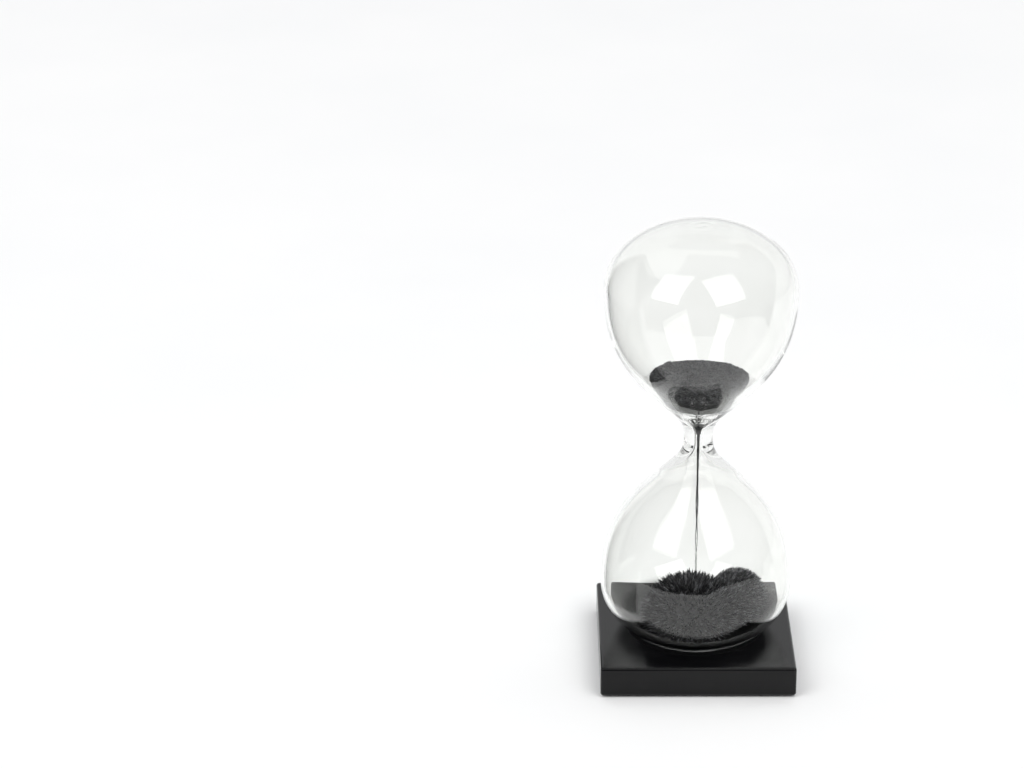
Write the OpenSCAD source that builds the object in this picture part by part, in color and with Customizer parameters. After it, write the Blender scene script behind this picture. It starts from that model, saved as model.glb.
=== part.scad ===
// Iron-sand hourglass: a glass vessel that stands loose in a round seat on a magnetic base.
// Millimetres, Z up. The origin is the middle of the underside, and the front faces -Y.

/* [Base] */
// Width and depth of the square base
base_w = 66; // [60:1:80]
// Height of the base with its felt pad
base_h = 11; // [10:0.5:16]
// Radius on the edges of the base
edge_r = 1; // [0.5:0.1:1.5]
// Width of the bevel round the seat
rim_w = 1.8; // [1:0.1:3]
// Thickness of the felt pad
pad_t = 0.6; // [0.4:0.1:1]
// How far the felt pad stands in from the sides
pad_inset = 2; // [1.6:0.2:6]
// Diameter of the disc magnet
magnet_d = 20; // [12:1:24]
// Thickness of the disc magnet
magnet_t = 3; // [2:0.5:3]

/* [Glass] */
// Widest radius of a bulb
bulb_r = 32.4; // [31:0.2:34]
// Height of a bulb's rounded end, past its widest place
crown_h = 22.4; // [21:0.2:25]
// Distance from the middle of the neck to a bulb's widest place
bulb_drop = 53.6; // [50:0.2:58]
// How deep the lower bulb sits in the base
seat_depth = 5.2; // [4:0.1:5.4]
// Wall of the bulbs
wall = 1.4; // [1.2:0.1:1.8]
// Outer radius of the neck at its narrowest
neck_r = 4.9; // [4.3:0.1:5.5]
// Radius of the throat that the sand runs through
throat_r = 0.95; // [0.9:0.05:1.2]
// Radius of the fused seal on the crown
seal_r = 4.2; // [3.6:0.1:5]

/* [Sand] */
// Level of the sand in the upper bulb, above the middle of the neck
fill_s = 20.6; // [17:0.1:26]
// Radius of the falling stream in the throat
stream_r = 0.6; // [0.4:0.05:0.6]
// Radius of the front mound
front_r = 17.8; // [16:0.2:18.4]
// Height of the front mound above the inside of the bulb
front_h = 25; // [22:0.5:28]
// Length of the spikes on the front mound
front_spike = 2.6; // [1.5:0.1:3.2]
// Number of spikes on the front mound
front_n = 150; // [80:10:200]
// Radius of the rear mound
rear_r = 10.6; // [9:0.2:11]
// Height of the rear mound above the inside of the bulb
rear_h = 22.8; // [20:0.2:24]
// Length of the spikes on the rear mound
rear_spike = 1; // [0.6:0.1:1.4]
// Number of spikes on the rear mound
rear_n = 70; // [40:10:120]

/* [Hidden] */
$fn = 96;

// Gaps: glass over the seat, magnet in its pocket, resting sand and turning sand inside the glass
seat_gap = 0.2;
pocket_gap = 0.2;
fill_gap = 0.1;
turn_gap = 0.35;
eps = 0.01;

// Heights of the vessel
bulb_z = base_h - seat_depth;
belly_z = bulb_z + crown_h;
neck_z = belly_z + bulb_drop;
floor_z = bulb_z + wall;

// The neck flares to this radius and height, then runs on as a cone at this angle from upright
flare = [8.7, 8.8];
flare_angle = 43;
flare_dir = [sin(flare_angle), cos(flare_angle)];
flare_in = [-cos(flare_angle), sin(flare_angle)];

// The cavity leaves the cone at this shoulder, and narrows to the top of the throat over thick glass
cone_len = 7;
shoulder = flare + cone_len * flare_dir + wall * flare_in;
throat_s = 2;
throat_pull = 7;
shoulder_pull = 4.5;

// How far the ends of a bulb's side, and of the neck's flare, hold their direction, as shares of the chord
cone_share = 0.31;
belly_share = 0.51;
flare_share = 0.45;

// Steps along each curve of a profile
curve_n = 18;

// Points along a cubic curve, without the first
function curve(a, b, c, d) = [
    for (i = [1:curve_n])
    let (t = i / curve_n, u = 1 - t)
    u * u * u * a + 3 * u * u * t * b + 3 * u * t * t * c + t * t * t * d
];

// Points of a quarter ellipse from the belly to the pole, without the first
function quarter(r, s, h) = [for (i = [1:curve_n]) [r * cos(90 * i / curve_n), s + h * sin(90 * i / curve_n)]];

// The side of a bulb from the cone at point a to the belly at point b, without the first
function side(a, b) =
    let (chord = norm(b - a))
    curve(a, a + cone_share * chord * flare_dir, b - [0, belly_share * chord], b);

// Outside of one half of the vessel, from the waist to the pole: [radius, height above the neck]
flare_pull = flare_share * norm(flare - [neck_r, 0]);
flare_outer = concat([[neck_r, 0]],
                     curve([neck_r, 0], [neck_r, flare_pull], flare - flare_pull * flare_dir, flare));
bulb_outer = concat(side(flare, [bulb_r, bulb_drop]), quarter(bulb_r, bulb_drop, crown_h));

// Inside of one half of the vessel, from the throat to the pole, drawn in by a gap
function cavity(gap) =
    let (throat = [throat_r - gap, throat_s], start = shoulder + gap * flare_in,
         belly = [bulb_r - wall - gap, bulb_drop])
    concat([[throat.x, 0], throat],
           curve(throat, throat + [0, throat_pull], start - shoulder_pull * flare_dir, start),
           side(start, belly),
           quarter(belly.x, bulb_drop, crown_h - wall - gap));

// A list backwards, a list without its first item, and points mirrored below the neck
function turned(points) = [for (i = [len(points) - 1:-1:0]) points[i]];
function rest(points) = [for (i = [1:len(points) - 1]) points[i]];
function below(points) = [for (p = points) [p.x, -p.y]];

// The vessel's wall in section, from pole to pole outside and back inside
module wall_section() {
    outside = concat(flare_outer, bulb_outer);
    inside = cavity(0);
    polygon(concat(turned(below(rest(outside))), outside, turned(inside), below(rest(inside))));
}

// One bulb with its neck end down, as far as the neck piece
module bulb() {
    rotate_extrude()
    intersection() {
        wall_section();
        translate([0, flare.y])
        square([2 * bulb_r, bulb_drop + crown_h]);
    }
}

// Everything inside one bulb, drawn in by a gap, with the neck end down
module bulb_space(gap) {
    rotate_extrude()
    polygon(concat(cavity(gap), [[0, 0]]));
}

// A block with every edge and corner rounded, standing on z = 0
module rounded_block(w, h, r) {
    inner = w / 2 - r;
    translate([-inner, -w / 2, r])
    cube([2 * inner, w, h - 2 * r]);
    translate([-w / 2, -inner, r])
    cube([w, 2 * inner, h - 2 * r]);
    translate([-inner, -inner, 0])
    cube([2 * inner, 2 * inner, h]);
    for (x = [-inner, inner])
        for (y = [-inner, inner])
            translate([x, y, r])
            cylinder(h = h - 2 * r, r = r);
    for (z = [r, h - r])
        for (turn = [0:90:270])
            rotate(turn) {
                translate([inner, -inner, z])
                rotate([-90, 0, 0])
                cylinder(h = 2 * inner, r = r);
                translate([inner, inner, z])
                sphere(r = r);
            }
}

// Lacquered block with the round seat on top and the magnet's pocket underneath
module base_block() {
    seat_r = bulb_r + seat_gap;
    seat_h = crown_h + seat_gap;
    mouth_r = dome(belly_z - base_h, seat_h, seat_r);
    bevel_angle = 15;
    bevel_h = 2 * rim_w * tan(bevel_angle);
    color("#26262a")
    difference() {
        translate([0, 0, pad_t])
        rounded_block(base_w, base_h - pad_t, edge_r);
        translate([0, 0, belly_z])
        rotate([180, 0, 0])
        rotate_extrude()
        polygon(concat([[0, 0], [seat_r, 0]], quarter(seat_r, 0, seat_h)));
        translate([0, 0, base_h - bevel_h])
        cylinder(h = 2 * bevel_h, r1 = mouth_r - rim_w, r2 = mouth_r + 3 * rim_w);
        translate([0, 0, pad_t - eps])
        cylinder(h = magnet_t + pocket_gap + eps, r = magnet_d / 2 + pocket_gap);
    }
}

// Nickel-plated disc magnet, resting on the pad
module base_magnet() {
    r = magnet_d / 2;
    bevel = 0.3;
    color("#b9bbbf")
    translate([0, 0, pad_t])
    rotate_extrude()
    polygon([[0, 0], [r - bevel, 0], [r, bevel], [r, magnet_t - bevel], [r - bevel, magnet_t], [0, magnet_t]]);
}

// Felt pad that closes the pocket
module felt_pad() {
    w = base_w - 2 * pad_inset;
    corner = 2;
    inner = w / 2 - corner;
    color("#1b1b1d")
    linear_extrude(pad_t) {
        square([w, 2 * inner], center = true);
        square([2 * inner, w], center = true);
        for (x = [-inner, inner])
            for (y = [-inner, inner])
                translate([x, y])
                circle(r = corner);
    }
}

// Lower bulb, neck end up
module lower_bulb() {
    color("#dfe8e6", 0.35)
    translate([0, 0, neck_z])
    rotate([180, 0, 0])
    bulb();
}

// Thick fused waist with the throat through it
module glass_neck() {
    color("#cfdcd9", 0.5)
    translate([0, 0, neck_z])
    rotate_extrude()
    intersection() {
        wall_section();
        translate([0, -flare.y])
        square([2 * flare.x, 2 * flare.y]);
    }
}

// Upper bulb, open at the crown where it was filled
module upper_bulb() {
    color("#dfe8e6", 0.35)
    translate([0, 0, neck_z])
    difference() {
        bulb();
        translate([0, 0, bulb_drop])
        cylinder(h = 2 * crown_h, r = seal_r);
    }
}

// Height of an ellipse of radius r and height h, at distance x from its axis
function dome(x, r, h) = h * sqrt(1 - pow(x / r, 2));

// Fused glass button that closes the crown, a little proud of the wall on both sides
module crown_seal() {
    proud = 0.3;
    steps = 6;
    xs = [for (i = [0:steps]) seal_r * i / steps];
    color("#d5e0dd", 0.6)
    translate([0, 0, neck_z + bulb_drop])
    rotate_extrude()
    polygon(concat(
        [for (x = xs) [x, dome(x, bulb_r, crown_h + proud)]],
        turned([for (x = xs) [x, dome(x, bulb_r - wall, crown_h - wall - proud)]])
    ));
}

// Sand still waiting in the upper bulb, down to the top of the throat
module upper_sand() {
    color("#4a4b50")
    translate([0, 0, neck_z])
    intersection() {
        bulb_space(fill_gap);
        translate([0, 0, throat_s])
        cylinder(h = fill_s - throat_s, r = bulb_r);
    }
}

// The stream thins to this share of its radius, and its foot stands this deep in the front mound
stream_share = 0.65;
stream_sink = 1;
stream_z = floor_z + front_h - front_spike - stream_sink;

// Thin stream that falls from the throat to the front mound
module sand_stream() {
    top_z = neck_z + throat_s - turn_gap;
    color("#303035")
    translate([0, 0, stream_z])
    cylinder(h = top_z - stream_z, r1 = stream_share * stream_r, r2 = stream_r);
}

// Centres of the two mounds over the magnet, and the height of each one's widest level
front_at = [-1, -3.5];
front_skirt = 5.3;
rear_at = [15, 5];
rear_skirt = 8.8;

// The mounds meet on the plane where their round plans cross
apart = norm(rear_at - front_at);
split_angle = atan2(rear_at.y - front_at.y, rear_at.x - front_at.x);
split_at = (apart * apart + front_r * front_r - rear_r * rear_r) / (2 * apart);

// A spike's foot radius for its length, its tip radius for its foot's, and how deep it is rooted
spike_foot = 0.3;
spike_tip = 1 / 6;
spike_root = 0.6;

// One slender spike of iron sand, from the origin along +Z
module spike(length, foot) {
    sides = 5;
    hull() {
        cylinder(h = eps, r = foot, $fn = sides);
        translate([0, 0, length])
        cylinder(h = eps, r = spike_tip * foot, $fn = sides);
    }
}

// A domed heap with spikes that stand square to its surface, spread by the golden angle
module spiky_dome(r, skirt, h, length, count, seed) {
    core_r = r - length;
    core_h = h - skirt - length;
    reach = 100;
    golden = 137.508;
    vary = rands(0.55, 1, count, seed);
    translate([0, 0, skirt]) {
        rotate_extrude($fn = 48)
        polygon([
            [0, -skirt], [core_r, -skirt],
            for (a = [0:10:90]) [core_r * cos(a), core_h * sin(a)]
        ]);
        for (i = [0:count - 1])
            let (off = acos(1 - (1 - cos(reach)) * (i + 0.5) / count),
                 lean = atan2(sin(off) / core_r, cos(off) / core_h))
            rotate(i * golden)
            translate([core_r * sin(off), 0, core_h * cos(off)])
            rotate([0, lean, 0])
            translate([0, 0, -spike_root])
            spike(spike_root + length * vary[i], spike_foot * length);
    }
}

// One side of the plane between the mounds: 0 keeps the front, 180 the rear
module mound_side(keep) {
    size = 3 * bulb_r;
    gap = 0.05;
    translate(concat(front_at, 0))
    rotate(split_angle)
    translate([split_at, 0, 0])
    rotate(180 + keep)
    translate([gap, -size / 2, 0])
    cube([size, size, size]);
}

// A mound inside the lower bulb, clear of the glass that turns round it
module mound(at, r, skirt, h, length, count, seed, keep) {
    intersection() {
        translate([at.x, at.y, floor_z])
        spiky_dome(r, skirt, h, length, count, seed);
        translate([0, 0, neck_z])
        rotate([180, 0, 0])
        rotate_extrude($fn = 64)
        polygon(concat(cavity(turn_gap), [[0, 0]]));
        mound_side(keep);
    }
}

// Coarse mound under the stream, with a bore that the stream's foot stands in
module front_mound() {
    slack = 0.1;
    color("#3a3b40")
    difference() {
        mound(front_at, front_r, front_skirt, front_h, front_spike, front_n, seed = 7, keep = 0);
        translate([0, 0, stream_z - slack])
        cylinder(h = front_h, r = stream_r + slack, $fn = 24);
    }
}

// Finer mound that leans on the right-hand wall of the bulb
module rear_mound() {
    color("#424349")
    mound(rear_at, rear_r, rear_skirt, rear_h, rear_spike, rear_n, seed = 11, keep = 180);
}

base_block();
base_magnet();
felt_pad();
lower_bulb();
glass_neck();
upper_bulb();
crown_seal();
upper_sand();
sand_stream();
front_mound();
rear_mound();
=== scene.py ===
# Iron-sand hourglass on a magnetic base: the looks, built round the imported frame.
import bisect
import math
import random

import bmesh
import bpy
from mathutils import Matrix, Vector, noise

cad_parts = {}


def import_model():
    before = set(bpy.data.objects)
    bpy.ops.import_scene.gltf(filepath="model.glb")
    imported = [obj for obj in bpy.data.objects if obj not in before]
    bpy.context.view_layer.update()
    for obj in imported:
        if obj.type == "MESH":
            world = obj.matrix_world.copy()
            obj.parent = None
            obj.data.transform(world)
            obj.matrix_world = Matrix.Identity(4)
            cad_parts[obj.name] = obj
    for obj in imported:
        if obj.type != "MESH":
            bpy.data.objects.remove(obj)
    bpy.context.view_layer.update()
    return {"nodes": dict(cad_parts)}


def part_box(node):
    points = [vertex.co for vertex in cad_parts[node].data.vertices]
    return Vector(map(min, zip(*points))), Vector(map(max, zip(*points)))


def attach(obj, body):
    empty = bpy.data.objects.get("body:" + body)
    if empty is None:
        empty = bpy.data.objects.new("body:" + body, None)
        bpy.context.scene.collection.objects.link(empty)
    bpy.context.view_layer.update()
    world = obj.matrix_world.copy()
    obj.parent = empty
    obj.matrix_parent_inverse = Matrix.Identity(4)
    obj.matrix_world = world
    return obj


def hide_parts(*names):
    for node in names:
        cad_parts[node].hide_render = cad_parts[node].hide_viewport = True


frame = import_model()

MM = 0.001

# ---------------------------------------------------------------- sizes
base_lo, base_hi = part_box("base_block")
magnet_lo, magnet_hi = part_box("base_magnet")
bulb_lo, bulb_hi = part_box("lower_bulb")
neck_lo, neck_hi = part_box("glass_neck")
seal_lo, seal_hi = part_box("crown_seal")
fill_lo, fill_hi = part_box("upper_sand")
stream_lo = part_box("sand_stream")[0]
front_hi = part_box("front_mound")[1]
rear_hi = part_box("rear_mound")[1]

BASE_W = base_hi.x - base_lo.x
MAGNET_AT = (magnet_lo + magnet_hi) / 2

# The polished rim of the block's seat starts at this radius
SEAT_MOUTH = 23 * MM

# The vessel: each half runs from the neck to the belly, at BULB_DROP, and on over the crown
NECK_Z = (neck_lo.z + neck_hi.z) / 2
BULB_R = (bulb_hi.x - bulb_lo.x) / 2
CROWN_H = 22.4 * MM
BULB_DROP = NECK_Z - bulb_lo.z - CROWN_H
WALL = 1.4 * MM
NECK_R = 4.9 * MM
SEAL_R = (seal_hi.x - seal_lo.x) / 2

# The throat is straight for this far above and below the middle of the neck
THROAT_R = 0.95 * MM
THROAT_S = 2 * MM

# The neck flares to this radius and height, then runs on as a cone
FLARE = Vector(((neck_hi.x - neck_lo.x) / 2, (neck_hi.z - neck_lo.z) / 2))
FLARE_ANGLE = math.radians(43)
FLARE_DIR = Vector((math.sin(FLARE_ANGLE), math.cos(FLARE_ANGLE)))
FLARE_IN = Vector((-math.cos(FLARE_ANGLE), math.sin(FLARE_ANGLE)))

# The upper sand's mean level, with room under the CAD's top for its swells
BED_LEVEL = fill_hi.z - 0.35 * MM

# How bright the softboxes are, where 1 is white on the picture
SOFTBOX_RADIANCE = 2.8

# The turn from one spike to the next that spreads them evenly
GOLDEN = 2.399963

# Air between the glass and the sand that turns with it, and the sand that it turns round
FILL_GAP = 0.1 * MM
TURN_GAP = 0.35 * MM

# Painted shade on the glass's foot, where it sits in the dark seat: how much of its tint is left, up to
# the first height, all of it from the second
FOOT_SHADE_KEEP = 0.12
FOOT_SHADE_FULL = base_hi.z + 3.6 * MM
FOOT_SHADE_END = base_hi.z + 6.5 * MM


# ---------------------------------------------------------------- profiles
def curve(a, b, c, d, n=36):
    """Points along a cubic curve, without the first."""
    out = []
    for i in range(1, n + 1):
        t = i / n
        u = 1 - t
        out.append(u**3 * a + 3 * u * u * t * b + 3 * u * t * t * c + t**3 * d)
    return out


def quarter(r, s, h, n=48):
    """Points of a quarter ellipse from the belly to the pole, without the first."""
    angles = [math.pi / 2 * i / n for i in range(1, n + 1)]
    return [Vector((r * math.cos(a), s + h * math.sin(a))) for a in angles]


def side(a, b):
    """The side of a bulb, from the neck's cone to the belly."""
    reach = (b - a).length
    return curve(a, a + 0.31 * reach * FLARE_DIR, b - Vector((0, 0.51 * reach)), b, 56)


def outer_half():
    """Outside of half the vessel: [radius, height above the neck], from the waist to the pole."""
    waist = Vector((NECK_R, 0))
    pull = 0.45 * (FLARE - waist).length
    flare = curve(waist, waist + Vector((0, pull)), FLARE - pull * FLARE_DIR, FLARE)
    belly = Vector((BULB_R, BULB_DROP))
    return [waist] + flare + side(FLARE, belly) + quarter(BULB_R, BULB_DROP, CROWN_H)


def inner_half(gap=0.0):
    """Inside of half the vessel, from the throat to the pole, drawn in by a gap."""
    throat = Vector((THROAT_R - gap, THROAT_S))
    start = FLARE + 7 * MM * FLARE_DIR + (WALL + gap) * FLARE_IN
    belly = Vector((BULB_R - WALL - gap, BULB_DROP))
    funnel = curve(throat, throat + Vector((0, 7 * MM)), start - 4.5 * MM * FLARE_DIR, start)
    crown = quarter(belly.x, BULB_DROP, CROWN_H - WALL - gap)
    return [Vector((throat.x, 0)), throat] + funnel + side(start, belly) + crown


def both_ways(half):
    """A half profile mirrored below the neck, as [radius, z] from the bottom pole to the top."""
    low = [Vector((p.x, NECK_Z - p.y)) for p in reversed(half[1:])]
    return low + [Vector((p.x, NECK_Z + p.y)) for p in half]


class Cavity:
    """The space inside the vessel, drawn in by a gap, for keeping sand inside it."""

    def __init__(self, gap):
        points = both_ways(inner_half(gap))
        self.z = [p.y for p in points]
        self.r = [p.x for p in points]
        self.belly_r = BULB_R - WALL - gap
        self.depth = CROWN_H - WALL - gap
        self.belly_z = NECK_Z - BULB_DROP

    def radius(self, z):
        if z <= self.z[0] or z >= self.z[-1]:
            return 0.0
        i = bisect.bisect_right(self.z, z)
        t = (z - self.z[i - 1]) / max(self.z[i] - self.z[i - 1], 1e-9)
        return self.r[i - 1] + t * (self.r[i] - self.r[i - 1])

    def floor(self, r):
        share = min(r / self.belly_r, 1)
        return self.belly_z - self.depth * math.sqrt(1 - share * share)


# ---------------------------------------------------------------- mesh helpers
def piece(name, bm, mat, smooth=True):
    """A new object from a bmesh."""
    bmesh.ops.recalc_face_normals(bm, faces=bm.faces)
    mesh = bpy.data.meshes.new(name)
    for face in bm.faces:
        face.smooth = smooth
    bm.to_mesh(mesh)
    bm.free()
    mesh.materials.append(mat)
    ob = bpy.data.objects.new(name, mesh)
    bpy.context.scene.collection.objects.link(ob)
    return ob


def bridge(bm, low, high):
    """Faces between two rings of vertices, where a ring of one vertex is a pole."""
    n = max(len(low), len(high))
    for i in range(n):
        j = (i + 1) % n
        if len(low) == 1:
            bm.faces.new((low[0], high[j], high[i]))
        elif len(high) == 1:
            bm.faces.new((low[i], low[j], high[0]))
        else:
            bm.faces.new((low[i], low[j], high[j], high[i]))


def lathe(bm, points, steps, shift=None):
    """A closed surface turned about Z from pole to pole. shift moves a point by (radius, z, angle)."""
    rings = []
    for p in points:
        if p.x < 1e-7:
            z = p.y + (shift(0.0, p.y, 0.0)[1] if shift else 0)
            rings.append([bm.verts.new((0, 0, z))])
            continue
        ring = []
        for i in range(steps):
            a = math.tau * i / steps
            dr, dz = shift(p.x, p.y, a) if shift else (0, 0)
            r = p.x + dr
            ring.append(bm.verts.new((r * math.cos(a), r * math.sin(a), p.y + dz)))
        rings.append(ring)
    for low, high in zip(rings, rings[1:]):
        bridge(bm, low, high)


def smoothstep(a, b, x):
    t = min(max((x - a) / (b - a), 0), 1)
    return t * t * (3 - 2 * t)


def window(a, b, c, d, x):
    """0 outside a to d, 1 between b and c."""
    return smoothstep(a, b, x) * (1 - smoothstep(c, d, x))


# ---------------------------------------------------------------- materials
def material(name):
    """A new node material: its tree and its Principled shader."""
    mat = bpy.data.materials.new(name)
    mat.use_nodes = True
    tree = mat.node_tree
    return mat, tree, tree.nodes["Principled BSDF"]


def noise_texture(tree, scale, detail=3.0, rough=0.55):
    """A noise texture fixed to the object."""
    where = tree.nodes.new("ShaderNodeTexCoord")
    tex = tree.nodes.new("ShaderNodeTexNoise")
    tex.inputs["Scale"].default_value = scale
    tex.inputs["Detail"].default_value = detail
    tex.inputs["Roughness"].default_value = rough
    tree.links.new(where.outputs["Object"], tex.inputs["Vector"])
    return tex


def ramp(tree, source, stops):
    """A colour ramp over source. stops is a list of (place, colour)."""
    node = tree.nodes.new("ShaderNodeValToRGB")
    items = node.color_ramp.elements
    for item, (place, colour) in zip(items, (stops[0], stops[-1])):
        item.position = place
        item.color = (*colour, 1)
    for place, colour in stops[1:-1]:
        items.new(place).color = (*colour, 1)
    tree.links.new(source, node.inputs["Fac"])
    return node.outputs["Color"]


def spread(tree, source, low, high, start=0.3, end=0.7):
    """source mapped from start..end to low..high."""
    node = tree.nodes.new("ShaderNodeMapRange")
    node.inputs["From Min"].default_value = start
    node.inputs["From Max"].default_value = end
    node.inputs["To Min"].default_value = low
    node.inputs["To Max"].default_value = high
    tree.links.new(source, node.inputs["Value"])
    return node.outputs["Result"]


def bump(tree, shader, height, distance, strength=1.0):
    """Bump on a shader from a height texture, distance in metres."""
    node = tree.nodes.new("ShaderNodeBump")
    node.inputs["Distance"].default_value = distance
    node.inputs["Strength"].default_value = strength
    tree.links.new(height, node.inputs["Height"])
    tree.links.new(node.outputs["Normal"], shader.inputs["Normal"])


def output(tree):
    """The input of the material's output that takes the surface shader."""
    return next(n for n in tree.nodes if n.type == "OUTPUT_MATERIAL").inputs["Surface"]


def mix_shaders(tree, share, plain, other):
    """Sends plain to the output where share is 0, and other where it is 1."""
    mix = tree.nodes.new("ShaderNodeMixShader")
    tree.links.new(share, mix.inputs["Fac"])
    tree.links.new(plain.outputs["BSDF"], mix.inputs[1])
    tree.links.new(other.outputs["BSDF"], mix.inputs[2])
    tree.links.new(mix.outputs["Shader"], output(tree))


def painted_foot_shade(tree, tint):
    """tint, darkened at the foot of the vessel: painted shade where the glass sits in the dark seat."""
    split = tree.nodes.new("ShaderNodeSeparateXYZ")
    tree.links.new(tree.nodes.new("ShaderNodeTexCoord").outputs["Object"], split.inputs[0])
    unshaded = spread(tree, split.outputs["Z"], FOOT_SHADE_KEEP, 1, FOOT_SHADE_FULL, FOOT_SHADE_END)
    node = tree.nodes.new("ShaderNodeVectorMath")
    node.operation = "SCALE"
    tree.links.new(tint, node.inputs[0])
    tree.links.new(unshaded, node.inputs["Scale"])
    return node.outputs["Vector"]


def clear_glass():
    """Clear blown glass with a trace of tint, which lets lamps through to what stands behind it."""
    mat, tree, glass = material("clear_glass")
    tint = ramp(tree, noise_texture(tree, 45, 2).outputs["Fac"],
                [(0.3, (0.976, 0.982, 0.964)), (0.7, (0.995, 1.0, 0.986))])
    # Painted shade: the glass tint darkens towards the vessel's foot, in the dark seat
    tree.links.new(painted_foot_shade(tree, tint), glass.inputs["Base Color"])
    glass.inputs["Transmission Weight"].default_value = 1.0
    glass.inputs["Roughness"].default_value = 0.0
    glass.inputs["IOR"].default_value = 1.42
    through = tree.nodes.new("ShaderNodeBsdfTransparent")
    through.inputs["Color"].default_value = (0.96, 0.97, 0.965, 1)
    path = tree.nodes.new("ShaderNodeLightPath")
    mix_shaders(tree, path.outputs["Is Shadow Ray"], glass, through)
    return mat


def iron_sand(name, dark, middle, light):
    """Dark iron sand: every grain or spike has its own shade and its own gloss."""
    mat, tree, sand = material(name)
    grain = tree.nodes.new("ShaderNodeNewGeometry").outputs["Random Per Island"]
    fine = noise_texture(tree, 2600, 2).outputs["Fac"]
    mixed = tree.nodes.new("ShaderNodeMath")
    mixed.operation = "MULTIPLY_ADD"
    tree.links.new(grain, mixed.inputs[0])
    mixed.inputs[1].default_value = 0.7
    tree.links.new(spread(tree, fine, 0, 0.3), mixed.inputs[2])
    shade = ramp(tree, mixed.outputs["Value"], [(0.25, dark), (0.65, middle), (1.0, light)])
    tree.links.new(shade, sand.inputs["Base Color"])
    tree.links.new(spread(tree, mixed.outputs["Value"], 0.5, 0.24, 0, 1), sand.inputs["Roughness"])
    sand.inputs["Metallic"].default_value = 0.35
    sand.inputs["Specular IOR Level"].default_value = 0.7
    bump(tree, sand, fine, 0.08 * MM)
    return mat


def core_sand_painted_shade():
    """The sand between the roots of the spikes, darker than the spikes: painted shade of the gaps
    between them.
    """
    mat, tree, sand = material("core_sand_painted_shade")
    fine = noise_texture(tree, 1800, 3).outputs["Fac"]
    tree.links.new(ramp(tree, fine, [(0.3, (0.002, 0.002, 0.002)), (0.7, (0.008, 0.008, 0.009))]),
                   sand.inputs["Base Color"])
    sand.inputs["Roughness"].default_value = 0.85
    bump(tree, sand, fine, 0.2 * MM)
    return mat


def matt_seat(tree):
    """1 inside the mouth of the seat, where the block is left unpolished, and 0 outside it."""
    where = tree.nodes.new("ShaderNodeTexCoord")
    flat = tree.nodes.new("ShaderNodeVectorMath")
    flat.operation = "MULTIPLY"
    flat.inputs[1].default_value = (1, 1, 0)
    tree.links.new(where.outputs["Object"], flat.inputs[0])
    size = tree.nodes.new("ShaderNodeVectorMath")
    size.operation = "LENGTH"
    tree.links.new(flat.outputs["Vector"], size.inputs[0])
    return spread(tree, size.outputs["Value"], 1, 0, SEAT_MOUTH, SEAT_MOUTH + 0.5 * MM)


def black_lacquer():
    """Black lacquer over a smooth block, with faint orange peel and haze, and a matt seat."""
    mat, tree, coat = material("black_lacquer")
    haze = noise_texture(tree, 70, 4).outputs["Fac"]
    peel = noise_texture(tree, 900, 2).outputs["Fac"]
    tint = ramp(tree, haze, [(0.3, (0.002, 0.002, 0.0025)), (0.75, (0.0045, 0.0045, 0.005))])
    tree.links.new(tint, coat.inputs["Base Color"])
    seat = matt_seat(tree)
    rough = tree.nodes.new("ShaderNodeMix")
    tree.links.new(seat, rough.inputs["Factor"])
    tree.links.new(spread(tree, haze, 0.1, 0.17), rough.inputs["A"])
    rough.inputs["B"].default_value = 0.7
    tree.links.new(rough.outputs["Result"], coat.inputs["Roughness"])
    tree.links.new(spread(tree, seat, 0.5, 0.1, 0, 1), coat.inputs["Specular IOR Level"])
    coat.inputs["IOR"].default_value = 1.34
    bump(tree, coat, peel, 0.01 * MM, 0.35)
    return mat


def nickel_plate():
    """Bright nickel on the magnet, with fine tumbling marks."""
    mat, tree, metal = material("nickel_plate")
    marks = noise_texture(tree, 1500, 4).outputs["Fac"]
    tint = ramp(tree, marks, [(0.3, (0.50, 0.49, 0.47)), (0.7, (0.66, 0.65, 0.63))])
    tree.links.new(tint, metal.inputs["Base Color"])
    tree.links.new(spread(tree, marks, 0.18, 0.34), metal.inputs["Roughness"])
    metal.inputs["Metallic"].default_value = 1.0
    return mat


def black_felt():
    """Pressed black felt with loose fibres."""
    mat, tree, felt = material("black_felt")
    fibre = noise_texture(tree, 1800, 6, 0.7).outputs["Fac"]
    tint = ramp(tree, fibre, [(0.35, (0.008, 0.008, 0.009)), (0.7, (0.035, 0.035, 0.037))])
    tree.links.new(tint, felt.inputs["Base Color"])
    felt.inputs["Roughness"].default_value = 0.95
    felt.inputs["Sheen Weight"].default_value = 0.3
    felt.inputs["Sheen Roughness"].default_value = 0.6
    bump(tree, felt, fibre, 0.15 * MM)
    return mat


def white_table():
    """Matt white paper sweep under the object."""
    mat, tree, paper = material("white_table")
    fibre = noise_texture(tree, 6, 3).outputs["Fac"]
    tint = ramp(tree, fibre, [(0.3, (0.90, 0.905, 0.915)), (0.7, (0.93, 0.93, 0.935))])
    tree.links.new(tint, paper.inputs["Base Color"])
    paper.inputs["Roughness"].default_value = 0.9
    paper.inputs["Specular IOR Level"].default_value = 0.1
    return mat


def darken_mirrored(tree, plain):
    """Makes a material look like dark card to light that has been mirrored, and plain to the rest."""
    card = tree.nodes.new("ShaderNodeBsdfDiffuse")
    grain = noise_texture(tree, 300, 3).outputs["Fac"]
    tint = ramp(tree, grain, [(0.3, (0.010, 0.010, 0.010)), (0.7, (0.016, 0.016, 0.017))])
    tree.links.new(tint, card.inputs["Color"])
    path = tree.nodes.new("ShaderNodeLightPath")
    mirrored = tree.nodes.new("ShaderNodeMath")
    mirrored.operation = "GREATER_THAN"
    mirrored.inputs[1].default_value = 0.5
    tree.links.new(path.outputs["Glossy Depth"], mirrored.inputs[0])
    mix_shaders(tree, mirrored.outputs["Value"], plain, card)


def far_paper():
    """The white paper again, past the near edge that the glass mirrors."""
    mat = white_table()
    mat.name = "far_paper"
    darken_mirrored(mat.node_tree, mat.node_tree.nodes["Principled BSDF"])
    return mat


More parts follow.
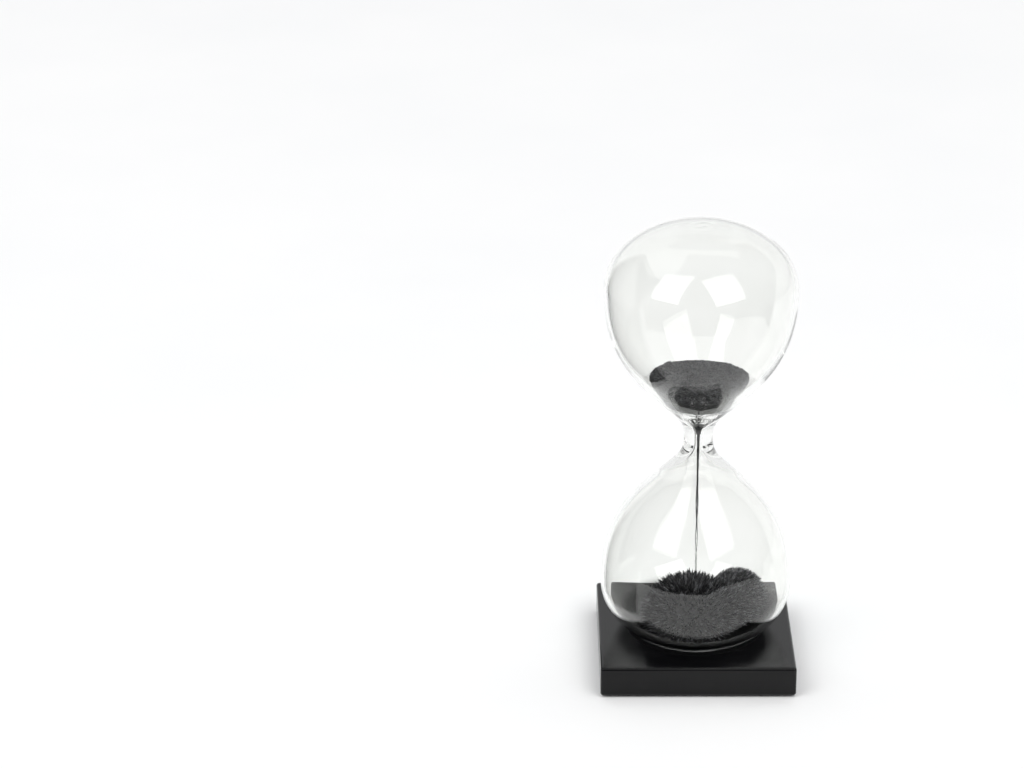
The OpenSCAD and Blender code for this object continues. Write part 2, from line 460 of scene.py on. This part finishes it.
def flag_card():
    """Card that nothing sees unless it is mirrored."""
    mat, tree, shader = material("flag_card")
    tree.nodes.remove(shader)
    darken_mirrored(tree, tree.nodes.new("ShaderNodeBsdfTransparent"))
    return mat


def lit_cloth():
    """The white cloth of a softbox, a little uneven."""
    mat, tree, shader = material("lit_cloth")
    tree.nodes.remove(shader)
    glow = tree.nodes.new("ShaderNodeEmission")
    weave = noise_texture(tree, 2, 2).outputs["Fac"]
    tree.links.new(ramp(tree, weave, [(0.3, (0.97, 0.97, 0.96)), (0.7, (1.0, 0.995, 0.985))]),
                   glow.inputs["Color"])
    glow.inputs["Strength"].default_value = SOFTBOX_RADIANCE
    tree.links.new(glow.outputs["Emission"], output(tree))
    return mat


GLASS = clear_glass()
COARSE_SAND = iron_sand("coarse_iron_sand", (0.003, 0.003, 0.004), (0.04, 0.04, 0.043),
                        (0.30, 0.30, 0.32))
FINE_SAND = iron_sand("fine_iron_sand", (0.009, 0.009, 0.010), (0.072, 0.072, 0.078),
                      (0.33, 0.33, 0.35))
LOOSE_SAND = iron_sand("loose_iron_sand", (0.006, 0.006, 0.007), (0.045, 0.045, 0.049),
                       (0.20, 0.20, 0.215))
CORE_SAND_PAINTED_SHADE = core_sand_painted_shade()
LIT_CLOTH = lit_cloth()


# ---------------------------------------------------------------- glass vessel
def glass_shift(seed, depth):
    """Slight waviness of blown glass, ripples round the neck and a swirl in the crown."""
    rng = random.Random(seed)
    waves = [(rng.randint(2, 5), rng.uniform(0, math.tau), rng.uniform(60, 160)) for _ in range(5)]
    ripple, swirl = 0.02 * MM, 0.03 * MM

    def shift(r, z, a):
        s = abs(z - NECK_Z)
        fade = smoothstep(0.2 * BULB_R, 0.8 * BULB_R, r)
        dr = sum(math.sin(k * a + p + f * z) for k, p, f in waves) * depth * fade / 3
        ring = window(4 * MM, 7 * MM, 12 * MM, 16 * MM, s)
        dr += ripple * ring * math.sin(s / (0.5 * MM) + 0.8 * math.sin(a + seed))
        dz = 0.0
        if z > NECK_Z + BULB_DROP:
            seal = window(0, 0.3 * SEAL_R, 0.75 * SEAL_R, 1.15 * SEAL_R, r)
            dz = swirl * seal * math.sin(1.4 * math.tau * r / SEAL_R + a)
        return dr, dz

    return shift


def glass_vessel():
    """The whole fused vessel: outer skin and cavity skin, thick round the neck."""
    bm = bmesh.new()
    steps = 168
    lathe(bm, both_ways(outer_half()), steps, glass_shift(3, 0.04 * MM))
    outer_faces = list(bm.faces)
    lathe(bm, both_ways(inner_half()), steps, glass_shift(8, 0.04 * MM))
    inner_faces = list(bm.faces)[len(outer_faces):]
    mesh = bpy.data.meshes.new("glass_vessel")
    bmesh.ops.recalc_face_normals(bm, faces=outer_faces)
    bmesh.ops.recalc_face_normals(bm, faces=inner_faces)
    bmesh.ops.reverse_faces(bm, faces=inner_faces)
    for face in bm.faces:
        face.smooth = True
    bm.to_mesh(mesh)
    bm.free()
    mesh.materials.append(GLASS)
    ob = bpy.data.objects.new("glass_vessel", mesh)
    bpy.context.scene.collection.objects.link(ob)
    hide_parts("lower_bulb", "glass_neck", "upper_bulb", "crown_seal")
    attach(ob, "glass")


glass_vessel()


# ---------------------------------------------------------------- sand
def add_spike(bm, foot, direction, length, radius, sides=5, turn=0.0):
    """A closed claw of sand from foot along direction, thinner than a cone at half its length."""
    turned = direction.to_track_quat("Z", "Y").to_matrix().to_4x4()
    place = Matrix.Translation(foot) @ turned @ Matrix.Rotation(turn, 4, "Z")
    rings = []
    for share, height in ((1.0, 0.0), (0.5, 0.5 * length)):
        ring = []
        for i in range(sides):
            a = math.tau * i / sides
            point = Vector((share * radius * math.cos(a), share * radius * math.sin(a), height))
            ring.append(bm.verts.new(place @ point))
        rings.append(ring)
    tip = bm.verts.new(place @ Vector((0, 0, length)))
    bm.faces.new(list(reversed(rings[0])))
    bridge(bm, rings[0], rings[1])
    bridge(bm, rings[1], [tip])


def add_grain(bm, place, size, rng):
    """A small angular grain, an octahedron stretched and turned at random."""
    turn = Matrix.Rotation(rng.uniform(0, math.tau), 4, Vector((rng.gauss(0, 1), rng.gauss(0, 1), 1)))
    corner = {}
    for axis in range(3):
        for sign in (1, -1):
            v = Vector((0, 0, 0))
            v[axis] = sign * size * rng.uniform(0.6, 1.1)
            corner[axis, sign] = bm.verts.new(Matrix.Translation(place) @ turn @ v)
    for x in (1, -1):
        for y in (1, -1):
            for z in (1, -1):
                bm.faces.new((corner[0, x], corner[1, y], corner[2, z]))


def field_direction(p):
    """Direction of the magnet's field at p, as that of a small upright magnet under the seat."""
    q = p - MAGNET_AT
    off = math.atan2(math.hypot(q.x, q.y), q.z)
    lean = off + math.atan(math.tan(min(off, 1.45)) / 2)
    a = math.atan2(q.y, q.x)
    return Vector((math.sin(lean) * math.cos(a), math.sin(lean) * math.sin(a), math.cos(lean)))


class Mound:
    """A domed heap inside the lower bulb: a dome on a skirt that runs down to the glass. The dome
    is a round one at square 2, and boxier above that. coat is how deep the spikes stand on it."""

    def __init__(self, at, radius, skirt, top, square, coat):
        self.at = Vector(at)
        self.radius = radius
        self.square = square
        self.skirt = skirt
        self.height = top - skirt
        self.space = Cavity(TURN_GAP + 0.05 * MM)
        self.core_space = Cavity(TURN_GAP + coat)

    def surface(self, r):
        share = min(r / self.radius, 1)
        return self.skirt + self.height * (1 - share**self.square) ** (1 / self.square)

    def part_from(self, other):
        """Keeps this mound on its own side of the plane where the two round plans cross."""
        gap = other.at - self.at
        d = gap.length
        along = (d * d + self.radius**2 - other.radius**2) / (2 * d)
        self.cut_at = self.at + gap.normalized() * along
        self.cut_way = gap.normalized()

    def reach(self, a):
        """How far the core runs from its centre at angle a: its edge, the glass or the other mound."""
        way = Vector((math.cos(a), math.sin(a)))
        reach = self.radius
        slope = way.dot(self.cut_way)
        if slope > 1e-6:
            reach = min(reach, (self.cut_at - self.at).dot(self.cut_way) / slope)
        steps = 200
        for i in range(1, steps + 1):
            r = reach * i / steps
            if self.core_space.floor((self.at + way * r).length) > self.surface(r) - 0.2 * MM:
                return reach * (i - 1) / steps
        return reach

    def holds(self, p, space, slack):
        """True if p is in the space and no further than slack past the cut."""
        flat = Vector((p.x, p.y))
        return (flat - self.cut_at).dot(self.cut_way) < slack and flat.length < space.radius(p.z)

    def point(self, a, r, z):
        return Vector((self.at.x + r * math.cos(a), self.at.y + r * math.sin(a), z))

    def floor_point(self, a, r):
        p = self.point(a, r, 0)
        p.z = self.core_space.floor(math.hypot(p.x, p.y))
        return p

    def core(self, bm, rough, seed):
        """The closed body under the spikes, in rings: over the dome, down and back in on the glass."""
        steps, over, down, under = 120, 26, 8, 8
        angles = [math.tau * i / steps for i in range(steps)]
        edge = [(a, self.reach(a)) for a in angles]
        rows = []
        for j in range(1, over + 1):
            share = math.sin(math.pi / 2 * j / over)
            row = [self.point(a, r * share, self.surface(r * share)) for a, r in edge]
            if j < over:
                for p in row:
                    p.z -= rough * abs(noise.noise(p * 420 + Vector((seed, 0, 0))))
            rows.append(row)
        for j in range(1, down + 1):
            row = []
            for a, r in edge:
                high = self.surface(r)
                low = min(self.floor_point(a, r).z, high - 0.02 * MM)
                row.append(self.point(a, r, high + (low - high) * j / down))
            rows.append(row)
        for j in range(under - 1, 0, -1):
            rows.append([self.floor_point(a, r * j / under) for a, r in edge])
        previous = [bm.verts.new(self.point(0, 0, self.surface(0)))]
        for row in rows:
            ring = [bm.verts.new(p) for p in row]
            bridge(bm, previous, ring)
            previous = ring
        bridge(bm, previous, [bm.verts.new(self.floor_point(0, 0))])

    def foot(self, off, a):
        """Where a spike stands, at angle off from the top and a round it: (place, normal), or None."""
        if off < math.pi / 2:
            x, y = math.sin(off), math.cos(off)
            size = (x**self.square + y**self.square) ** (-1 / self.square)
            r = self.radius * size * x
            z = self.skirt + self.height * size * y
            out = (size * x) ** (self.square - 1) / self.radius
            up = (size * y) ** (self.square - 1) / self.height
        else:
            r = self.radius
            z = self.skirt - (off - math.pi / 2) * self.radius
            out, up = 1, 0
        normal = Vector((out * math.cos(a), out * math.sin(a), up)).normalized()
        place = self.point(a, r, z)
        if self.holds(place, self.core_space, 0):
            return place, normal
        return self.pressed(a, z)

    def pressed(self, a, z):
        """The same on the flat that the glass leaves, at angle a and height z."""
        way = Vector((math.cos(a), math.sin(a)))
        along = self.at.dot(way)
        root = along**2 - self.at.length_squared + self.core_space.radius(z) ** 2
        if root < 0:
            return None
        r = math.sqrt(root) - along - 0.02 * MM
        place = self.point(a, r, z)
        if not 0 < r < self.radius or self.surface(r) < z or not self.holds(place, self.core_space, 0):
            return None
        return place, Vector((place.x, place.y, 0)).normalized() * 0.5

    def spikes(self, bm, count, off_max, pick, sides, rng):
        """Spikes over the mound down to off_max from its top. pick(off, rng) gives (length, radius).
        They lean from the mound's normal to the field, and stop short of the glass."""
        root, shortest = 0.4 * MM, 0.3 * MM
        for i in range(count):
            a = i * GOLDEN + rng.uniform(-0.25, 0.25)
            off = math.acos(1 - (1 - math.cos(off_max)) * (i + 0.5) / count) + rng.uniform(-0.03, 0.03)
            stand = self.foot(abs(off), a)
            if stand is None:
                continue
            foot, normal = stand
            jitter = Vector((rng.gauss(0, 1), rng.gauss(0, 1), rng.gauss(0, 1))) * 0.1
            way = (0.45 * normal + 0.55 * field_direction(foot) + jitter).normalized()
            length, radius = pick(off, rng)
            while length > shortest and not self.holds(foot + way * length, self.space, 1.5 * MM):
                length *= 0.85
            if length > shortest:
                add_spike(bm, foot - way * root, way, length + root, radius, sides, rng.uniform(0, 1.5))


def mound_piece(name, mound, coats, mat, seed, rough):
    """A mound with its coats of spikes, standing for its CAD node."""
    rng = random.Random(seed)
    bm = bmesh.new()
    mound.core(bm, rough, seed)
    core_faces = len(bm.faces)
    for coat in coats:
        mound.spikes(bm, *coat, rng)
    ob = piece(name, bm, mat, smooth=False)
    # The core gets the darker sand: painted shade between the roots of the spikes
    ob.data.materials.append(CORE_SAND_PAINTED_SHADE)
    for polygon in ob.data.polygons[:core_faces]:
        polygon.use_smooth = True
        polygon.material_index = 1
    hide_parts(name)
    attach(ob, "held_sand")


def crown_spike(off, rng):
    """A long, thick spike near the top of the front mound."""
    fade = 1 - 0.35 * smoothstep(0.4, 0.75, off)
    return 3.1 * MM * fade * rng.uniform(0.7, 1.1), 0.68 * MM * fade * rng.uniform(0.85, 1.2)


def side_spike(off, rng):
    """A slender spike of the front mound's fur."""
    return 2.4 * MM * rng.uniform(0.6, 1.15), 0.36 * MM * rng.uniform(0.8, 1.2)


def fine_spike(off, rng):
    """A short spike of the rear mound's fur."""
    return 1.4 * MM * rng.uniform(0.65, 1.15), 0.27 * MM * rng.uniform(0.8, 1.2)


def mounds():
    """The coarse mound under the stream and the finer one that leans on the right-hand wall."""
    floor = bulb_lo.z + WALL
    front = Mound(at=(-2 * MM, -3.5 * MM), radius=15.4 * MM, skirt=floor + 5.3 * MM,
                  top=front_hi.z - 2.6 * MM, square=2.35, coat=2 * MM)
    rear = Mound(at=(14.6 * MM, 5 * MM), radius=10.2 * MM, skirt=floor + 8.8 * MM,
                 top=rear_hi.z - 1 * MM, square=2.15, coat=1.4 * MM)
    front.part_from(rear)
    rear.part_from(front)
    coats = [(115, 0.75, crown_spike, 5), (2300, 1.95, side_spike, 4)]
    mound_piece("front_mound", front, coats, COARSE_SAND, 5, 0.5 * MM)
    mound_piece("rear_mound", rear, [(2600, 1.95, fine_spike, 4)], FINE_SAND, 6, 0.25 * MM)


mounds()


def bed_top(x, y):
    """Height of the upper sand: swells, grit, and a dip over the neck."""
    dip = 0.9 * MM * math.exp(-((math.hypot(x, y) / (5 * MM)) ** 2))
    swell = noise.noise(Vector((x, y, 0.3)) * 150) * 0.8 * MM
    grit = noise.noise(Vector((x, y, 1.7)) * 1500) * 0.25 * MM
    return BED_LEVEL - dip + swell + grit


def bed_body(bm, cavity):
    """The upper sand as a closed body: rings up the glass, then in over the top."""
    around, up, over = 200, 70, 60
    angles = [math.tau * i / around for i in range(around)]
    low = fill_lo.z + 0.02 * MM
    rings = [[bm.verts.new((0, 0, low))]]
    for j in range(up + 1):
        z = low + (BED_LEVEL - low) * (j / up) ** 1.3
        r = cavity.radius(z)
        ring = []
        for a in angles:
            way = Vector((math.cos(a), math.sin(a), 0))
            grit = abs(noise.noise((way * r + Vector((0, 0, z))) * 1700)) * min(0.3 * MM, 0.2 * r)
            p = way * (r - grit)
            ring.append(bm.verts.new((p.x, p.y, z)))
        rings.append(ring)
    edge = cavity.radius(BED_LEVEL)
    for j in range(1, over):
        r = edge * (1 - j / over) - 0.02 * MM
        flat = [(r * math.cos(a), r * math.sin(a)) for a in angles]
        rings.append([bm.verts.new((x, y, bed_top(x, y))) for x, y in flat])
    rings.append([bm.verts.new((0, 0, bed_top(0, 0)))])
    for low_ring, high_ring in zip(rings, rings[1:]):
        bridge(bm, low_ring, high_ring)


def bed_grains(bm, cavity, rng):
    """Loose grains on the upper sand, one in three of them near its rim."""
    edge = cavity.radius(BED_LEVEL)
    for i in range(4200):
        r = edge * math.sqrt(rng.random()) if i % 3 else edge - rng.uniform(0.4, 1.2) * MM
        a = rng.uniform(0, math.tau)
        x, y = r * math.cos(a), r * math.sin(a)
        size = rng.uniform(0.2, 0.42) * MM
        z = bed_top(x, y) + rng.uniform(-0.1, 0.4) * MM
        if r + 1.2 * size < cavity.radius(z):
            add_grain(bm, Vector((x, y, z)), size, rng)


def upper_sand():
    """Sand waiting in the upper bulb."""
    cavity = Cavity(FILL_GAP)
    bm = bmesh.new()
    bed_body(bm, cavity)
    bed_grains(bm, cavity, random.Random(12))
    ob = piece("upper_sand", bm, LOOSE_SAND, smooth=False)
    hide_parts("upper_sand")
    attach(ob, "glass")


upper_sand()


def stream_thread(bm, turn, rng):
    """One thread of the falling sand from the throat to the mound. It sways, opens and thins."""
    top_z, foot_z = fill_lo.z - 0.04 * MM, stream_lo.z
    steps, sides = 150, 8
    previous = [bm.verts.new((0, 0, top_z))]
    for j in range(steps + 1):
        t = j / steps
        z = top_z + (foot_z - top_z) * t
        apart = (0.1 + 0.22 * smoothstep(0.2, 0.9, t)) * MM
        sway = 0.13 * MM * smoothstep(0.15, 0.6, t)
        x = apart * math.cos(turn + 5 * t) + sway * math.sin(23 * t + turn)
        y = apart * math.sin(turn + 5 * t) + sway * math.sin(17 * t + 2 * turn)
        radius = (0.42 - 0.15 * smoothstep(0, 0.3, t) - 0.19 * smoothstep(0.25, 0.85, t)) * MM
        ring = []
        for i in range(sides):
            a = math.tau * i / sides
            r = radius * (1 + 0.3 * noise.noise(Vector((math.cos(a) + turn, math.sin(a), z * 900))))
            ring.append(bm.verts.new((x + r * math.cos(a), y + r * math.sin(a), z)))
        bridge(bm, previous, ring)
        previous = ring
    bridge(bm, previous, [bm.verts.new((x, y, foot_z))])
    for _ in range(90):
        t = rng.uniform(0.15, 1)
        a = rng.uniform(0, math.tau)
        out = rng.uniform(0.3, 0.75) * MM
        place = Vector((out * math.cos(a), out * math.sin(a), top_z + (foot_z - top_z) * t))
        add_grain(bm, place, rng.uniform(0.06, 0.12) * MM, rng)


def sand_stream():
    """The falling sand: two threads side by side, with loose grains round them."""
    rng = random.Random(21)
    bm = bmesh.new()
    stream_thread(bm, 0.4, rng)
    stream_thread(bm, 0.4 + math.pi, rng)
    ob = piece("sand_stream", bm, COARSE_SAND, smooth=False)
    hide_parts("sand_stream")
    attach(ob, "held_sand")


sand_stream()


# ---------------------------------------------------------------- base
def paint(node, mat):
    """Gives a CAD node's own mesh a finish."""
    for slot in frame["nodes"][node].material_slots:
        slot.material = mat


paint("base_block", black_lacquer())
paint("base_magnet", nickel_plate())
paint("felt_pad", black_felt())


# ---------------------------------------------------------------- studio
def table_edge(turn):
    """How far off the table ends at an angle from the front in degrees: near in front, and further
    off on the right, as the glass mirrors it."""
    near = 0.275 + 0.42 * window(12, 34, 50, 85, turn)
    return near + 3.7 * (1 - window(-80, -70, 85, 95, turn))


def disc(name, mat, inner, outer):
    """A flat staged ring round the object, each of its edges a function of the angle from the front."""
    bm = bmesh.new()
    steps = 180
    near, far = [], []
    for i in range(steps):
        turn = -180 + 360 * i / steps
        a = math.radians(turn)
        for ring, reach in ((near, inner(turn)), (far, outer(turn))):
            ring.append(bm.verts.new((reach * math.sin(a), -reach * math.cos(a), 0)))
    bridge(bm, near, far)
    piece(name, bm, mat)


def table():
    """A white sweep under the object. Past its near edge only mirrored light finds the room's dark
    floor, and everything else finds more of the sweep."""
    disc("table", white_table(), lambda turn: 0.001, table_edge)
    disc("far_table", far_paper(), table_edge, lambda turn: 6.0)


def left_flag():
    """A tall dark card close on the left that is only ever seen mirrored in the glass."""
    bm = bmesh.new()
    bmesh.ops.create_grid(bm, x_segments=4, y_segments=12, size=0.5)
    width, height = 80 * MM, 205 * MM
    size = Matrix.Diagonal((width, height, 1, 1))
    stand = Matrix.Rotation(math.pi / 2, 4, "Y") @ Matrix.Rotation(math.pi / 2, 4, "Z")
    bmesh.ops.transform(bm, matrix=stand @ size, verts=bm.verts)
    ob = piece("left_flag", bm, flag_card(), smooth=False)
    ob.location = (base_lo.x - 30 * MM, base_lo.y + width / 2, height / 2)
    ob.visible_camera = False
    ob.visible_diffuse = False
    ob.visible_shadow = False


def world():
    """A dim room in front, and a bright backdrop that rises behind and over the object."""
    scene_world = bpy.data.worlds.new("studio")
    bpy.context.scene.world = scene_world
    scene_world.use_nodes = True
    tree = scene_world.node_tree
    where = tree.nodes.new("ShaderNodeTexCoord")
    lean = tree.nodes.new("ShaderNodeVectorMath")
    lean.operation = "DOT_PRODUCT"
    tree.links.new(where.outputs["Generated"], lean.inputs[0])
    lean.inputs[1].default_value = (0, 1, 0.45)
    shade = ramp(tree, spread(tree, lean.outputs["Value"], 0, 1, -0.35, 0.6),
                 [(0.0, (0.16, 0.16, 0.165)), (0.45, (0.45, 0.45, 0.45)), (1.0, (0.86, 0.865, 0.87))])
    tree.links.new(shade, tree.nodes["Background"].inputs["Color"])
    tree.nodes["Background"].inputs["Strength"].default_value = 1.0


def softbox(name, corners):
    """A flat four-sided softbox from the directions of its corners: (azimuth, elevation) in degrees,
    where azimuth 0 is the front and the right is positive."""
    distance = 5.0
    ways = []
    for azimuth, elevation in corners:
        a, e = math.radians(azimuth), math.radians(elevation)
        ways.append(Vector((math.sin(a) * math.cos(e), -math.cos(a) * math.cos(e), math.sin(e))))
    middle = sum(ways, Vector()).normalized()
    bm = bmesh.new()
    centre = Vector((0, 0, 0.08))
    bm.faces.new([bm.verts.new(centre + way * distance / way.dot(middle)) for way in ways])
    bmesh.ops.subdivide_edges(bm, edges=bm.edges, cuts=3, use_grid_fill=True)
    ob = piece(name, bm, LIT_CLOTH, smooth=False)
    ob.visible_camera = False


def camera():
    """The photograph's view: a long lens from the front, a little to the left and well above."""
    data = bpy.data.cameras.new("camera")
    data.lens = 139.8
    data.sensor_width = 36
    data.clip_start, data.clip_end = 0.05, 50
    ob = bpy.data.objects.new("camera", data)
    ob.location = Vector((-1.0013, -18.505, 9.5436)) * BASE_W
    pitch, yaw = math.radians(23.41), math.radians(-0.157)
    level = Vector((-math.sin(yaw), math.cos(yaw), 0))
    forward = level * math.cos(pitch) - Vector((0, 0, math.sin(pitch)))
    ob.rotation_mode = "QUATERNION"
    ob.rotation_quaternion = (-forward).to_track_quat("Z", "Y")
    bpy.context.scene.collection.objects.link(ob)
    bpy.context.scene.camera = ob


table()
left_flag()
world()
softbox("softbox_left", [(-67.5, 21.5), (-31, 23.5), (-28, 78), (-90, 60)])
softbox("softbox_right", [(16, 22), (56, 27), (86, 66), (-5, 72)])
camera()

scene = bpy.context.scene
scene.view_settings.view_transform = "Standard"
scene.cycles.use_denoising = True
# Light runs a long way inside the thick neck before it gets out
scene.cycles.max_bounces = 64
scene.cycles.transmission_bounces = 64
scene.cycles.glossy_bounces = 64
scene.cycles.diffuse_bounces = 4
